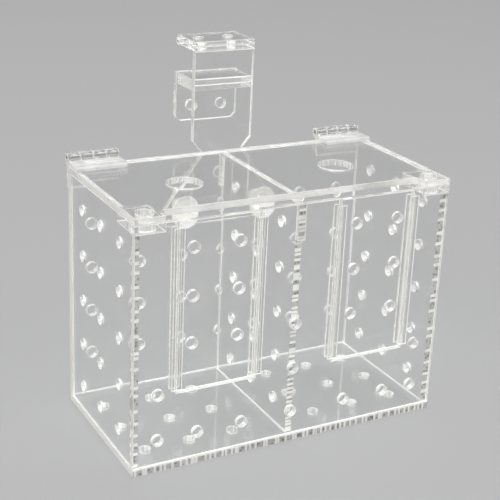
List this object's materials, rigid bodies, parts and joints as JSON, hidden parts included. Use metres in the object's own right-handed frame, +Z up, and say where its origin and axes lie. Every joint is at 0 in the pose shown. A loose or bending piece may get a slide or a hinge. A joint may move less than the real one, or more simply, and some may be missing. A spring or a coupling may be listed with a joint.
{
  "type": "fish breeding box",
  "caption": "Hang-on clear acrylic breeding box with a middle divider, hinged lid with feed holes, two lift doors, round water holes and a rim hanger behind.",
  "frame": {"origin": "middle of the underside of the base panel", "axes": "+X to the right seen from the front, +Y backward to the hanger, +Z up; the two lift doors face -Y"},
  "size_m": [0.2, 0.13, 0.2197],
  "materials": {
    "clear_acrylic": "clear polished faces with frosted cut edges",
    "clear_hinge": "clear moulded plastic",
    "pin_steel": "bright",
    "silicone": "milky translucent"
  },
  "bodies": {
    "box": {"bottom_panel": "clear_acrylic", "left_panel": "clear_acrylic", "right_panel": "clear_acrylic", "front_panel": "clear_acrylic", "back_panel": "clear_acrylic", "divider": "clear_acrylic", "corner_block_left": "clear_acrylic", "corner_block_right": "clear_acrylic", "left_door_outer_rail_a": "clear_acrylic", "left_door_inner_rail_a": "clear_acrylic", "left_door_outer_rail_b": "clear_acrylic", "left_door_inner_rail_b": "clear_acrylic", "right_door_outer_rail_a": "clear_acrylic", "right_door_inner_rail_a": "clear_acrylic", "right_door_outer_rail_b": "clear_acrylic", "right_door_inner_rail_b": "clear_acrylic", "hinge_left_back_leaf": "clear_hinge", "hinge_left_pin": "pin_steel", "hinge_right_back_leaf": "clear_hinge", "hinge_right_pin": "pin_steel", "hanger_plate": "clear_acrylic", "hanger_flange_lower": "clear_acrylic", "hanger_flange_upper": "clear_acrylic", "hanger_shelf_lower": "clear_acrylic", "hanger_shelf_upper": "clear_acrylic", "hanger_clamp_plate": "clear_acrylic", "suction_cup_left": "silicone", "suction_cup_right": "silicone"},
    "lid": {"lid_panel": "clear_acrylic", "hinge_left_lid_leaf": "clear_hinge", "hinge_right_lid_leaf": "clear_hinge"},
    "left_door": {"door_left": "clear_acrylic"},
    "right_door": {"door_right": "clear_acrylic"}
  },
  "joints": [
    {"name": "lid_hinge", "type": "hinge", "parent": "box", "child": "lid", "pos_m": [0, 0.053, 0.156], "axis": [-1, 0, 0], "range_deg": [0, 90]},
    {"name": "left_door_slide", "type": "slide", "parent": "box", "child": "left_door", "axis": [0, 0, 1], "range_m": [0, 0.09]},
    {"name": "right_door_slide", "type": "slide", "parent": "box", "child": "right_door", "axis": [0, 0, 1], "range_m": [0, 0.09]}
  ]
}
